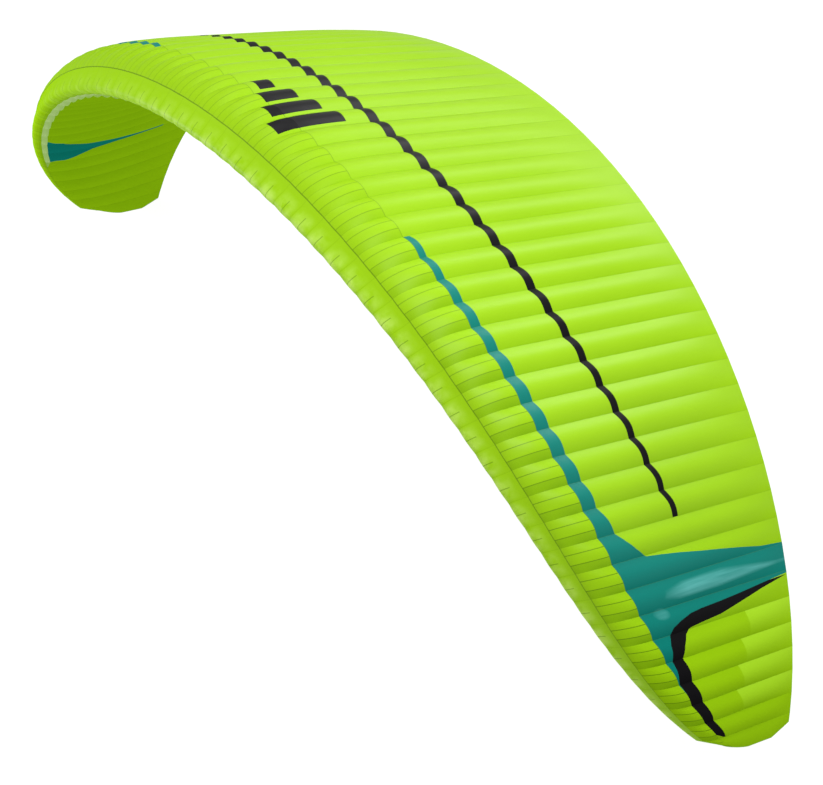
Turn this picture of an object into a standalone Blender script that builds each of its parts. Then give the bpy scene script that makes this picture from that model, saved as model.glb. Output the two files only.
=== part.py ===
"""Paraglider wing: an inflated, arched canopy of ripstop cloth, in metres, +Z up.

The leading edge points to -Y and the span runs along X, with the pilot's left at +X.
The arch stands on its two wing-tip edges, tilted back until its centre of mass lies
over them. One cross-section, drawn in chord lengths, is carried along the span by a
few laws: arc length, chord, sweep and arch angle. The sails are lofts over the ribs
that bulge outwards between them, and they get their thickness from Solidify.
"""

import math

import bmesh
import bpy
import numpy as np

# ---- span: s runs from 0 in the middle to 1 at a tip edge, along the arch
HALF_SPAN = 5.800
CELLS_A_SIDE = 30
LAST_OPEN_RIB = 24  # the air intakes run from this rib to its twin on the other side
ROOT_CHORD = 2.770  # from the leading-edge seam to the trailing edge
CHORD_LOSS = {2: 0.633, 4: -0.114, 8: 0.240}  # share of the chord lost, by power of s
SWEEP = {2: 1.345, 4: -0.013, 8: 0.617}  # metres that the seam moves back
ARCH = {1: 1.249, 3: -0.103, 5: 0.251}  # arch angle in radians
NARROWING = {2: -0.157, 4: 0.370}  # share of a cell's width lost
WASHOUT = {2: -0.073, 4: 0.062}  # twist in radians
PITCH = math.radians(25.6)  # the wing is tilted back by this to stand

# ---- cross-section, in chords, with its origin at the leading-edge seam
CROWN = (0.2075, -0.2166, -0.0630)  # weights of the upper line's three terms
ROUNDING = 0.004  # how soon behind the seam the upper line levels out
NOSE_BEZIER = ((0.0, 0.0), (-0.0221, -0.0483), (-0.0806, -0.0620), (0.0281, -0.0920))
BELLY_BEZIER = ((0.0281, -0.0920), (0.3014, -0.1232), (0.6506, -0.0561), (1.0, 0.0))
LIP = 0.9  # where on the nose curve the cloth ends at an intake
CLOSING_RIB = 27  # outside this rib the section closes down to CLOSING_SHARE
CLOSING_SHARE = 0.5

# ---- tip edge: rounded in front, flat on the ground behind
FLAT_FROM = 0.75  # share of the tip chord
ROUND_FROM = 0.40
ROUND_BY = 0.065
ROUND_POWER = 1.3

# ---- cloth
SAIL_THICK = 0.002
RIB_THICK = 0.001
TIP_THICK = 0.003  # a doubled, bound edge
SEAM_GAP = 0.0014  # upper sail to nose panel
LIP_GAP = 0.0025  # nose panel to lower sail, where no intake parts them
RIB_GAP = 0.0009
TIP_GAP = 0.0010
EDGE_HALF = 0.0022  # half the distance between both sails at the trailing edge
BULGE = {"top": 0.170, "nose": 0.040, "belly": 0.070}  # in cell widths
SEAM_FULLNESS = 0.12  # share of the upper sail's bulge at the leading-edge seam
FULL_FROM = 0.10  # chords behind the seam, where the bulge is full

# ---- stations along the section, from the front backwards
TOP_STATIONS = (0.0, 0.008, 0.035, 0.100, 0.190, 0.320, 0.500, 0.750, 0.880, 1.0)
NOSE_STATIONS = (0.0, 0.42, 0.55, 0.68, LIP)
BELLY_STATIONS = (0.0281, 0.150, 0.300, 0.500, 0.750, 1.0)
RIB_END = 0.95
CELL_STEPS = {"top": 3, "nose": 3, "belly": 2}  # straight pieces across one bulge

COLOURS = {
    "sail_cloth": ((0.42, 0.72, 0.03), 0.45),
    "belly_cloth": ((0.30, 0.52, 0.02), 0.55),
    "rib_cloth": ((0.80, 0.82, 0.78), 0.60),
}


# ---------------------------------------------------------------- spanwise laws
def series(law, s):
    return sum(weight * s**power for power, weight in law.items())


def lay_out_ribs():
    """For ribs 0 to 30: s, arch angle, and the seam's place across and down."""
    steps = 8  # a cell, for the two integrals
    cell = np.linspace(0, 1, CELLS_A_SIDE * steps + 1)
    width = 1 - series(NARROWING, cell)
    s = np.concatenate([[0], np.cumsum((width[1:] + width[:-1]) / 2)])
    s /= s[-1]
    angle = series(ARCH, s)
    run, middle = np.diff(s) * HALF_SPAN, (angle[1:] + angle[:-1]) / 2
    across = np.concatenate([[0], np.cumsum(run * np.cos(middle))])
    down = np.concatenate([[0], np.cumsum(run * np.sin(middle))])
    return [law[::steps] for law in (s, angle, across, down)]


S, ANGLE, ACROSS, DOWN = lay_out_ribs()


def chord(rib):
    return ROOT_CHORD * (1 - series(CHORD_LOSS, S[rib]))


def depth(rib):
    """The share of the section's depth that is left at this rib."""
    closing = max(0, rib - CLOSING_RIB) / (CELLS_A_SIDE - CLOSING_RIB)
    return 1 - (1 - CLOSING_SHARE) * closing**1.5


def tilted(p):
    c, s = math.cos(PITCH), math.sin(PITCH)
    return np.array([p[0], p[1] * c + p[2] * s, -p[1] * s + p[2] * c])


def axes(rib):
    """A rib's chordwise, outward and spanwise directions, as the wing stands."""
    angle, twist = ANGLE[rib], series(WASHOUT, S[rib])
    back = np.array([0, 1.0, 0])
    out = np.array([math.sin(angle), 0, math.cos(angle)])
    chordwise = math.cos(twist) * back - math.sin(twist) * out
    outward = math.cos(twist) * out + math.sin(twist) * back
    spanwise = np.array([math.cos(angle), 0, -math.sin(angle)])
    return tilted(chordwise), tilted(outward), tilted(spanwise)


def seam(rib):
    return tilted(np.array([ACROSS[rib], series(SWEEP, S[rib]), -DOWN[rib]]))


def tip_chord_height(x):
    return (seam(CELLS_A_SIDE) + axes(CELLS_A_SIDE)[0] * chord(CELLS_A_SIDE) * x)[2]


GROUND = tip_chord_height(FLAT_FROM)


def tip_edge_height(x):
    """Height of the tip edge's underside above the ground, at a share of its chord."""
    rounded = max(0, ROUND_FROM - max(x, 0)) / ROUND_FROM
    return max(0, tip_chord_height(x) - GROUND) + ROUND_BY * rounded**ROUND_POWER


TIP_X = (NOSE_BEZIER[2][0],) + TOP_STATIONS
TIP_Z = [tip_edge_height(x) for x in TIP_X]


# ---------------------------------------------------------------- cross-section
def bezier(points, t):
    a, b, c, d = (np.array(p) for p in points)
    u = 1 - t
    return u**3 * a + 3 * u * u * t * b + 3 * u * t * t * c + t**3 * d


def top_line(x):
    root = math.sqrt(x + ROUNDING) - math.sqrt(ROUNDING)
    root /= math.sqrt(1 + ROUNDING) - math.sqrt(ROUNDING)
    body = 5 * (0.2969 * root - 0.1260 * x - 0.3516 * x**2 + 0.2843 * x**3 - 0.1036 * x**4)
    camber = x * (1 - x)
    return np.array([x, CROWN[0] * body + CROWN[1] * camber + CROWN[2] * camber * (1 - 2 * x)])


BELLY_POINTS = np.array([bezier(BELLY_BEZIER, t) for t in np.linspace(0, 1, 401)])
NOSE_END = bezier(NOSE_BEZIER, LIP)


def belly_line(x):
    """The lower line, and in front of an intake's rear edge the last of the nose."""
    start = BELLY_BEZIER[0][0]
    if x < start:
        t = LIP + (1 - LIP) * (x - NOSE_END[0]) / (start - NOSE_END[0])
        return bezier(NOSE_BEZIER, t)
    return np.array([x, np.interp(x, BELLY_POINTS[:, 0], BELLY_POINTS[:, 1])])


LINES = {"top": top_line, "nose": lambda t: bezier(NOSE_BEZIER, t), "belly": belly_line}


def section(rib, part, station):
    """(point, outward normal) in metres, in the rib's own plane."""
    size = chord(rib) * np.array([1.0, depth(rib)])
    line, step = LINES[part], 1e-3
    run = (line(min(station + step, 1)) - line(max(station - step, 0))) * size
    run /= np.linalg.norm(run) * (-1 if part == "top" else 1)
    apart = {"top": EDGE_HALF, "nose": 0, "belly": -EDGE_HALF}[part] * station
    return line(station) * size + np.array([0, apart]), np.array([run[1], -run[0]])


def on_rib(rib, part, station, inset=0.0, raised=TIP_THICK + TIP_GAP):
    """A point at a whole rib. At the tip it is moved along the span onto the edge's
    profile, raised above its underside."""
    point, normal = section(rib, part, station)
    x, z = point - normal * inset
    chordwise, outward, spanwise = axes(rib)
    place = seam(rib) + chordwise * x + outward * z - np.array([0, 0, GROUND])
    if rib == CELLS_A_SIDE:
        height = np.interp(x / chord(rib), TIP_X, TIP_Z) + raised
        place += spanwise * (height - place[2]) / spanwise[2]
    return place


def fullness(part, station):
    """The share of the bulge here: little at the leading-edge seam, none at the rear."""
    if part == "nose":
        return (1 + station) / 2
    front = 1
    if part == "top":
        swell = min(1, station / FULL_FROM)
        front = SEAM_FULLNESS + (1 - SEAM_FULLNESS) * swell**2 * (3 - 2 * swell)
    return front * (1 - station**5)


def on_sail(place, part, station_of):
    """A point of a sail at any place along the half span, in cells from the middle."""
    rib = math.floor(place + 1e-9)
    share = place - rib
    a = on_rib(rib, part, station_of(rib))
    if share < 1e-6:
        return a
    b = on_rib(rib + 1, part, station_of(rib + 1))
    normal = np.zeros(3)
    for near, weight in ((rib, 1 - share), (rib + 1, share)):
        _, (x, z) = section(near, part, station_of(near))
        chordwise, outward, _ = axes(near)
        normal += weight * (chordwise * x + outward * z)
    width = (S[rib + 1] - S[rib]) * HALF_SPAN
    if rib + 1 == CELLS_A_SIDE:
        width *= 0.5  # the last cell is drawn in by the tip edge
    rise = BULGE[part] * fullness(part, station_of(rib)) * width * math.sin(math.pi * share)
    return a * (1 - share) + b * share + normal / np.linalg.norm(normal) * rise


# ---------------------------------------------------------------- objects
def clear_scene():
    for obj in list(bpy.data.objects):
        bpy.data.objects.remove(obj, do_unlink=True)


def cloth_material(name, kind):
    colour, roughness = COLOURS[kind]
    made = bpy.data.materials.new(f"{name}_{kind}")
    made.use_nodes = True
    shader = made.node_tree.nodes["Principled BSDF"]
    shader.inputs["Base Color"].default_value = (*colour, 1)
    shader.inputs["Roughness"].default_value = roughness
    shader.inputs["Metallic"].default_value = 0
    return made


def add_object(name, kind, mesh):
    obj = bpy.data.objects.new(name, mesh)
    obj.parent = STAND
    WING.objects.link(obj)
    if not mesh.materials:
        mesh.materials.append(cloth_material(name, kind))
    return obj


def add_thickness(obj, thickness, offset):
    solid = obj.modifiers.new("Cloth", "SOLIDIFY")
    solid.thickness = thickness
    solid.offset = offset  # -1 keeps the drawn surface as the outer face
    solid.use_even_offset = True


def loft(name, rows):
    """A mesh of quads over rows of points, facing the side that sees the rows run on
    to the right and the points in each row run up."""
    columns = len(rows[0])
    faces = [
        (i * columns + j, (i + 1) * columns + j, (i + 1) * columns + j + 1, i * columns + j + 1)
        for i in range(len(rows) - 1)
        for j in range(columns - 1)
    ]
    mesh = bpy.data.meshes.new(name)
    mesh.from_pydata([tuple(p) for row in rows for p in row], [], faces)
    return mesh


def add_sail(name, kind, part, stations_of):
    """A sail over the whole span: a lofted left half, mirrored. stations_of(rib, place)
    lists its stations there."""
    steps = CELL_STEPS[part]
    rows = []
    for place in (i / steps for i in range(CELLS_A_SIDE * steps + 1)):
        count = len(stations_of(0, 0))
        row = [
            on_sail(place, part, lambda rib, j=j: stations_of(rib, place)[j])
            for j in range(count)
        ]
        rows.append(row if part == "top" else row[::-1])
    obj = add_object(name, kind, loft(name, rows))
    mirror = obj.modifiers.new("Other half", "MIRROR")
    mirror.merge_threshold = 0.00005
    split = obj.modifiers.new("Same diagonals on both faces", "TRIANGULATE")
    split.quad_method = "FIXED"
    add_thickness(obj, SAIL_THICK, -1)


def top_stations(rib, place):
    return TOP_STATIONS


def nose_stations(rib, place):
    """They start a seam's gap below the upper sail."""
    speed = 3 * math.hypot(*NOSE_BEZIER[1]) * chord(rib) * depth(rib)
    return (SEAM_GAP / speed,) + NOSE_STATIONS[1:]


def belly_stations(rib, place):
    """They start behind the intakes, and outside them right behind the nose."""
    skewed = 1 + 1.5 * max(0, rib - CELLS_A_SIDE + 2)  # the last cells run back steeply
    closed = NOSE_END[0] + LIP_GAP * skewed / chord(rib)
    return (BELLY_STATIONS[0] if place <= LAST_OPEN_RIB else closed,) + BELLY_STATIONS[1:]


def rib_point(rib, part, station):
    """A point of a rib's outline. Its two ends lie on the sails' last straights."""
    inset = SAIL_THICK + RIB_GAP
    if station != RIB_END:
        return on_rib(rib, part, station, inset)
    before = TOP_STATIONS[-2] if part == "top" else BELLY_STATIONS[-2]
    share = (RIB_END - before) / (1 - before)
    a, b = (on_rib(rib, part, x, inset) for x in (before, 1.0))
    return a * (1 - share) + b * share


def add_rib(rib):
    """A profile rib and, except in the middle, its twin on the pilot's right."""
    outline = [("top", RIB_END)] + [("top", x) for x in TOP_STATIONS[-2:0:-1]]
    outline += [("nose", t) for t in NOSE_STATIONS]
    outline += [("belly", x) for x in BELLY_STATIONS[:-1]] + [("belly", RIB_END)]
    points = [tuple(rib_point(rib, *at)) for at in outline]
    mesh = bpy.data.meshes.new(f"rib_{rib:02d}")
    mesh.from_pydata(points, [], [range(len(points))])
    for side, name in ((1, f"rib_l{rib:02d}"), (-1, f"rib_r{rib:02d}")):
        if rib == 0:
            name = "rib_00"
        obj = add_object(name, "rib_cloth", mesh)
        obj.scale.x = side
        add_thickness(obj, RIB_THICK, 0)
        if rib == 0:
            break


def below(x):
    """The (part, station) on the section's underside, below the place x."""
    if x >= NOSE_END[0]:
        return "belly", x
    t = np.linspace(NOSE_STATIONS[2], LIP, 57)
    return "nose", float(np.interp(x, [LINES["nose"](v)[0] for v in t], t))


def add_tips():
    """The bound edge that closes each tip: flat on the ground behind, swept up in front."""
    pairs = [(("nose", NOSE_STATIONS[1]), ("nose", NOSE_STATIONS[2]))]
    pairs += [(("top", x), below(x)) for x in TOP_STATIONS]
    rows = [[on_rib(CELLS_A_SIDE, *at, raised=0) for at in pair] for pair in pairs]
    mesh = loft("tip", rows)
    work = bmesh.new()
    work.from_mesh(mesh)
    bmesh.ops.triangulate(work, faces=work.faces)
    for face in work.faces:
        face.normal_update()
        if face.normal.z > 0:
            face.normal_flip()
    lifted = bmesh.ops.extrude_face_region(work, geom=work.faces[:])
    corners = [item for item in lifted["geom"] if isinstance(item, bmesh.types.BMVert)]
    bmesh.ops.translate(work, verts=corners, vec=(0, 0, TIP_THICK))
    bmesh.ops.recalc_face_normals(work, faces=work.faces)
    work.to_mesh(mesh)
    work.free()
    for side, name in ((1, "tip_left"), (-1, "tip_right")):
        add_object(name, "belly_cloth", mesh).scale.x = side


def centre_on_origin():
    """Moves the stand so that the footprint's box is centred on the origin."""
    y = [v.co.y for obj in WING.objects if obj.type == "MESH" for v in obj.data.vertices]
    STAND.location.y = -(min(y) + max(y)) / 2


clear_scene()
WING = bpy.data.collections.new("paraglider_wing")
bpy.context.scene.collection.children.link(WING)
STAND = bpy.data.objects.new("stand", None)
WING.objects.link(STAND)

add_sail("upper_sail", "sail_cloth", "top", top_stations)
add_sail("nose_panel", "sail_cloth", "nose", nose_stations)
add_sail("lower_sail", "belly_cloth", "belly", belly_stations)
for number in range(LAST_OPEN_RIB + 1):
    add_rib(number)
add_tips()
centre_on_origin()
print("footprint moved by", round(STAND.location.y, 4))
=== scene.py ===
# %% [markdown]
# # A paraglider wing
# A paraglider wing is a sail that air holds open. An upper and a lower sail of thin
# ripstop cloth are sewn to profile ribs, and air enters through slots under the
# leading edge. Between two ribs the cloth balloons out, so that the wing looks like a
# row of soft tubes. Here the wing stands in its flying arch on its two tip edges.
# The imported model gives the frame. Each sheet of cloth is made again around it with
# far more detail, and takes the place of its plain solid.

import math
from types import SimpleNamespace

import bpy
import numpy as np
from mathutils import Matrix, Vector


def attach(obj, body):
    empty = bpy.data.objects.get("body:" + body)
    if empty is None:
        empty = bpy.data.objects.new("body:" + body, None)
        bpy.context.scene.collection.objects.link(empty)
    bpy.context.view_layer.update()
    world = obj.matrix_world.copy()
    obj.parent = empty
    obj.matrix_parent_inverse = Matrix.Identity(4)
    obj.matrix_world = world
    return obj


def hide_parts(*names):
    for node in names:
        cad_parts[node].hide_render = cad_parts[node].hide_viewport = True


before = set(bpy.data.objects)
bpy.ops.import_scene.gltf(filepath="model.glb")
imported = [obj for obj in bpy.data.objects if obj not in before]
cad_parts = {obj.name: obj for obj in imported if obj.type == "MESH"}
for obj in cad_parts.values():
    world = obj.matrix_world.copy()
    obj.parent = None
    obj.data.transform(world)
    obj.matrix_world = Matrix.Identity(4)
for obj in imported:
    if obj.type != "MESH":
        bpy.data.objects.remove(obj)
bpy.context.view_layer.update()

# %% [markdown]
# ## The camera
# The wing is seen from in front, from above and from its left, through a long lens.
# A wing in flight has no floor, so the camera could stand upright. But this wing
# stands tilted back, to have its centre of mass over its feet, and the camera is
# turned with it. So it is given by its place and its own right and up directions.

# %% Set up the camera
IMAGE_WIDTH = 823
SENSOR_WIDTH = 36  # millimetres
FOCAL_PIXELS = 2778.0
CAMERA_PLACE = (14.51057, -7.50030, 16.27494)
CAMERA_RIGHT = Vector((0.59155, 0.78482, -0.18473))
CAMERA_UP = Vector((-0.48773, 0.53077, 0.69311))


def add_camera():
    back = CAMERA_RIGHT.cross(CAMERA_UP)
    turn = Matrix((CAMERA_RIGHT, CAMERA_UP, back)).transposed().to_4x4()
    bpy.ops.object.camera_add()
    camera = bpy.context.object
    camera.matrix_world = Matrix.Translation(CAMERA_PLACE) @ turn
    camera.data.sensor_width = SENSOR_WIDTH
    camera.data.lens = SENSOR_WIDTH * FOCAL_PIXELS / IMAGE_WIDTH
    camera.data.clip_end = 500
    bpy.context.scene.camera = camera


add_camera()
print("lens", round(bpy.context.scene.camera.data.lens, 1), "mm")

# %% [markdown]
# ## The plan of the wing
# A wing maker draws one profile and carries it along the span by a few laws: how long
# the chord is, how far the leading edge runs back, and how much the arch has turned.
# Each law is a sum of powers of s, which runs from 0 in the middle to 1 at a tip.
# These are the laws of the solids, in metres, so that the cloth fits them. Ribs are
# numbered from 0 in the middle to 30 at each tip, and a place between two ribs is a
# number such as 4.5.

# %% Laws along the span
HALF_SPAN = 5.800  # along the arch
CELLS_A_SIDE = 30
LAST_OPEN_RIB = 24
ROOT_CHORD = 2.770
CHORD_LOSS = {2: 0.633, 4: -0.114, 8: 0.240}  # share of the chord lost, by power of s
SWEEP = {2: 1.345, 4: -0.013, 8: 0.617}  # metres that the leading edge runs back
ARCH = {1: 1.249, 3: -0.103, 5: 0.251}  # radians
NARROWING = {2: -0.157, 4: 0.370}  # share of a cell's width lost
WASHOUT = {2: -0.073, 4: 0.062}  # twist in radians
PITCH = math.radians(25.6)  # how far the wing is tilted back
SHIFT_BACK = -1.14858  # puts the footprint's middle on the origin


def series(law, s):
    return sum(weight * s**power for power, weight in law.items())


def lay_out_ribs():
    """For ribs 0 to 30: share of the half span, arch angle, place across and down."""
    steps = 8  # of each cell, for the sums
    cell = np.linspace(0, 1, CELLS_A_SIDE * steps + 1)
    width = 1 - series(NARROWING, cell)
    s = np.concatenate([[0], np.cumsum((width[1:] + width[:-1]) / 2)])
    s /= s[-1]
    angle = series(ARCH, s)
    run, middle = np.diff(s) * HALF_SPAN, (angle[1:] + angle[:-1]) / 2
    across = np.concatenate([[0], np.cumsum(run * np.cos(middle))])
    down = np.concatenate([[0], np.cumsum(run * np.sin(middle))])
    return [law[::steps] for law in (s, angle, across, down)]


S, ANGLE, ACROSS, DOWN = lay_out_ribs()
CHORD = ROOT_CHORD * (1 - series(CHORD_LOSS, S))
CELL_WIDTH = np.diff(S) * HALF_SPAN
print("cell widths", CELL_WIDTH.round(3)[[0, 15, 29]], "chords", CHORD.round(2)[[0, 15, 30]])

# %% [markdown]
# ## The profile
# The profile could be drawn point by point. Three curves say the same with a few
# numbers, and stay smooth at any number of points. The upper line is a common wing
# section's, with three weights. A bent nose curve leads from the leading-edge seam
# down and back to the intake, and a long flat curve from there to the trailing edge.
# All of it is drawn for a chord of one.

# %% Lines of the profile
CROWN = (0.2075, -0.2166, -0.0630)  # weights of the thickness, the camber and its front
ROUNDING = 0.004  # how soon behind the seam the upper line levels out
NOSE_BEZIER = ((0.0, 0.0), (-0.0221, -0.0483), (-0.0806, -0.0620), (0.0281, -0.0920))
BELLY_BEZIER = ((0.0281, -0.0920), (0.3014, -0.1232), (0.6506, -0.0561), (1.0, 0.0))
LIP = 0.9  # where on the nose curve the cloth ends at an intake
BELLY_START = BELLY_BEZIER[0][0]


def bezier(points, t):
    a, b, c, d = (np.array(p) for p in points)
    t = np.asarray(t, float)[..., None]
    u = 1 - t
    return u**3 * a + 3 * u * u * t * b + 3 * u * t * t * c + t**3 * d


def top_line(x):
    root = np.sqrt(x + ROUNDING) - math.sqrt(ROUNDING)
    root /= math.sqrt(1 + ROUNDING) - math.sqrt(ROUNDING)
    body = 5 * (0.2969 * root - 0.1260 * x - 0.3516 * x**2 + 0.2843 * x**3 - 0.1036 * x**4)
    camber = x * (1 - x)
    height = CROWN[0] * body + CROWN[1] * camber + CROWN[2] * camber * (1 - 2 * x)
    return np.stack([x, height], -1)


BELLY_SAMPLES = 401
BELLY_POINTS = bezier(BELLY_BEZIER, np.linspace(0, 1, BELLY_SAMPLES))
NOSE_END = bezier(NOSE_BEZIER, LIP)


def belly_line(x):
    """The lower line, and in front of an intake's rear edge the last of the nose."""
    t = LIP + (1 - LIP) * (x - NOSE_END[0]) / (BELLY_START - NOSE_END[0])
    behind = np.stack([x, np.interp(x, BELLY_POINTS[:, 0], BELLY_POINTS[:, 1])], -1)
    return np.where((x < BELLY_START)[..., None], bezier(NOSE_BEZIER, t), behind)


LINES = {"top": top_line, "nose": lambda t: bezier(NOSE_BEZIER, t), "belly": belly_line}
QUARTER = np.array(0.25)
print("profile is", round(float((top_line(QUARTER) - belly_line(QUARTER))[1]), 3), "chords deep")

# %% [markdown]
# ## From the profile to the wing
# A rib could be drawn flat and then turned and moved as an object. Here its points
# are worked out in place, because the sails between the ribs need the same points.
# Each rib has three directions: along its chord, outward from its upper side, and
# along the span. All of them turn with the arch, and the whole wing is tilted back.

# %% Directions of a rib
CLOSING_RIB = 27  # outside this rib the profile gets thinner
CLOSING_SHARE = 0.5  # and this much of its depth is left at the tip
CLOSING_POWER = 1.5


def tilted(p):
    c, s = math.cos(PITCH), math.sin(PITCH)
    return np.array([p[0], p[1] * c + p[2] * s, -p[1] * s + p[2] * c])


def depth(rib):
    closing = max(0, rib - CLOSING_RIB) / (CELLS_A_SIDE - CLOSING_RIB)
    return 1 - (1 - CLOSING_SHARE) * closing**CLOSING_POWER


def axes(rib):
    """A rib's chordwise, outward and spanwise directions, as the wing stands."""
    angle, twist = ANGLE[rib], series(WASHOUT, S[rib])
    back = np.array([0, 1.0, 0])
    out = np.array([math.sin(angle), 0, math.cos(angle)])
    chordwise = math.cos(twist) * back - math.sin(twist) * out
    outward = math.cos(twist) * out + math.sin(twist) * back
    spanwise = np.array([math.cos(angle), 0, -math.sin(angle)])
    return tilted(chordwise), tilted(outward), tilted(spanwise)


def seam(rib):
    """Where the rib meets the leading-edge seam, before the feet are put on the floor."""
    return tilted(np.array([ACROSS[rib], series(SWEEP, S[rib]), -DOWN[rib]]))


print("the chord at the tip drops", round(-float(axes(CELLS_A_SIDE)[0][2]), 2), "m in each metre")

# %% [markdown]
# ## The tip's edge on the floor
# A flying wing ends in a smooth curve. To stand, this one has a short flat behind on
# each tip edge, and in front the edge is swept up a little. A height above the floor
# for each share of the tip chord is all that it takes.

# %% Height of the tip's edge
FLAT_FROM = 0.75
ROUND_FROM = 0.40
ROUND_BY = 0.065
ROUND_POWER = 1.3
TIP_RAISED = 0.0012  # the sails end this far above the tip edge's underside


def tip_chord_height(x):
    start, along = seam(CELLS_A_SIDE), axes(CELLS_A_SIDE)[0]
    return start[2] + along[2] * CHORD[CELLS_A_SIDE] * x


GROUND = tip_chord_height(FLAT_FROM)


def tip_edge_height(x):
    rounded = np.clip(ROUND_FROM - np.maximum(x, 0), 0, None) / ROUND_FROM
    return np.maximum(0, tip_chord_height(x) - GROUND) + ROUND_BY * rounded**ROUND_POWER


heights = tip_edge_height(np.array([0.0, 0.4, 1.0]))
print("tip edge at the nose, at 0.4 and behind", heights.round(3), "m above the floor")

# %% [markdown]
# ## Points on a rib
# A place on the profile is a part (top, nose or belly) and a station along its line.
# The tips could be cut off along their edges, but a cut leaves ragged rows of faces. So
# each point of a tip slides along the span, until it is as high as the tip's edge.

# %% Place a rib's profile in the wing
EDGE_HALF = 0.0008  # half the distance between both sails at the trailing edge
TANGENT_STEP = 1e-3


def section(rib, part, stations):
    """Points and outward normals in the rib's own plane, in metres."""
    size = CHORD[rib] * np.array([1.0, depth(rib)])
    stations = np.asarray(stations, float)
    line = LINES[part]
    after = line(np.minimum(stations + TANGENT_STEP, 1))
    run = (after - line(np.maximum(stations - TANGENT_STEP, 0))) * size
    run /= np.linalg.norm(run, axis=-1, keepdims=True) * (-1 if part == "top" else 1)
    apart = {"top": EDGE_HALF, "nose": 0, "belly": -EDGE_HALF}[part] * stations
    points = line(stations) * size
    points[:, 1] += apart
    return points, np.stack([run[:, 1], -run[:, 0]], -1)


def on_rib(rib, part, stations, inset=0.0, raised=TIP_RAISED):
    """Places on a rib's outline, with their outward directions."""
    points, normals = section(rib, part, stations)
    chordwise, outward, spanwise = axes(rib)
    points = points - normals * inset
    places = seam(rib) + points[:, :1] * chordwise + points[:, 1:] * outward
    places[:, 2] -= GROUND
    if rib == CELLS_A_SIDE:
        height = tip_edge_height(points[:, 0] / CHORD[rib]) + raised
        places += ((height - places[:, 2]) / spanwise[2])[:, None] * spanwise
    places[:, 1] += SHIFT_BACK
    return places, normals[:, :1] * chordwise + normals[:, 1:] * outward


print("middle rib's nose", on_rib(0, "top", [0.0])[0].round(3))

# %% [markdown]
# ## The shape of a cell
# Air pushes the cloth out between two ribs, and the seams hold it in, so a cell is a
# shallow arch with a sharp valley at each seam. In front of the shaping seam two more
# sewn lines run back in each cell, and there the arch breaks into three flat lobes.
# A cloth simulation would give the same arch with less control over the seams, so
# the cloth is moved by a formula.

# %% How far the cloth stands out
BULGE = {"top": 0.170, "nose": 0.028, "belly": 0.070}  # in cell widths
SEAM_FULLNESS = 0.12  # share of the bulge left at the leading-edge seam
FULL_FROM = 0.10  # chords behind that seam
FADE_POWER = 5  # how late the bulge fades towards the trailing edge
SHAPING_START = 0.125  # the shaping seam in the middle, in chords behind the front
SHAPING_RUN = 0.0178  # how much further back it is at a tip
SHAPING_BLEND = 0.02  # chords over which the lobes turn into one arch
TROUGH_DEEP = 0.012  # cell widths
TROUGH_HALF = 0.006  # chords
FOLD_LINES = (0.31, 0.69)  # where the sewn fold lines run in a cell
FOLD_HEIGHT = 0.86  # of the lobes' crown
LOBE_SHARES = (0.6, 0.4, 0.07)  # of straight stretches, one arch and three small ones


def shaping_seam(place):
    """How far back the shaping seam is, in chords. It takes shader values too."""
    share = place * (1 / CELLS_A_SIDE)
    return share * share * SHAPING_RUN + SHAPING_START


def lobes(share):
    """Three flat lobes between the seams and the two sewn fold lines."""
    corners = (0, *FOLD_LINES, 1)
    straight = np.interp(share, corners, (0, FOLD_HEIGHT, FOLD_HEIGHT, 0))
    between_folds = np.interp(share, corners, (0, 1, 2, 3)) % 1
    shapes = (straight, math.sin(math.pi * share), np.sin(math.pi * between_folds))
    return sum(weight * shape for weight, shape in zip(LOBE_SHARES, shapes))


def stand_out(part, place, share, stations):
    """How far the cloth stands out, in cell widths."""
    arch = math.sin(math.pi * share)
    if part == "nose":
        return BULGE[part] * arch * (1 + stations) / 2
    if part == "belly":
        return BULGE[part] * arch * (1 - stations**FADE_POWER)
    behind = stations - shaping_seam(place)
    front = np.clip(0.5 - behind / SHAPING_BLEND, 0, 1)
    crown = arch * (1 - front) + lobes(share) * front
    swell = np.minimum(1, stations / FULL_FROM)
    full = SEAM_FULLNESS + (1 - SEAM_FULLNESS) * swell**2 * (3 - 2 * swell)
    full *= 1 - stations**FADE_POWER
    trough = TROUGH_DEEP * np.exp(-((behind / TROUGH_HALF) ** 2))
    return BULGE[part] * crown * full - trough * arch**0.5


middle_cell = stand_out("top", 0.5, 0.5, np.array([0.4]))[0] * CELL_WIDTH[0]
print("the middle cell stands out", round(1000 * float(middle_cell)), "mm")

# %% [markdown]
# ## Where the cloth has its points
# A real sail is sewn from flat panels, one in each cell. Each panel could be a mesh of
# its own, but then all the seams would have to be closed again. So each sail starts as
# one flat grid. Its columns run along the profile and its rows along the span. The
# columns lie closer at the seams, where the cloth bends most, and two of them follow
# the fold lines.

# %% Columns of a sail
TO_FOLD = (0, 0.05, 0.12, 0.21)
FROM_FOLD = (0.79, 0.88, 0.95)
STEPS = (*TO_FOLD, FOLD_LINES[0], 0.405, 0.5, 0.595, FOLD_LINES[1], *FROM_FOLD)  # in a cell


def columns_of_places():
    """Signed places along the span, from the right tip at -30 to the left at 30."""
    half = [rib + step for rib in range(CELLS_A_SIDE) for step in STEPS] + [CELLS_A_SIDE]
    return np.array([-p for p in half[:0:-1]] + half, float)


PLACES = columns_of_places()
print(len(PLACES), "columns")

# %% [markdown]
# ## From rib to rib
# Between two ribs the cloth runs straight from one profile to the next, and the air
# then pushes it outwards. A coarse mesh could be smoothed to look so, but that would
# round off the seams, and so each point is worked out. The same pass notes where a
# point lies on the cloth: once in cells and chords, on which the panels and seams are
# drawn, and once in metres, for the weave.

# %% Points of a sail
LAST_CELL_FULLNESS = 0.5  # the cell at the tip is flat against the others


def between(start, end, share):
    return start * (1 - share) + end * share


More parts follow.
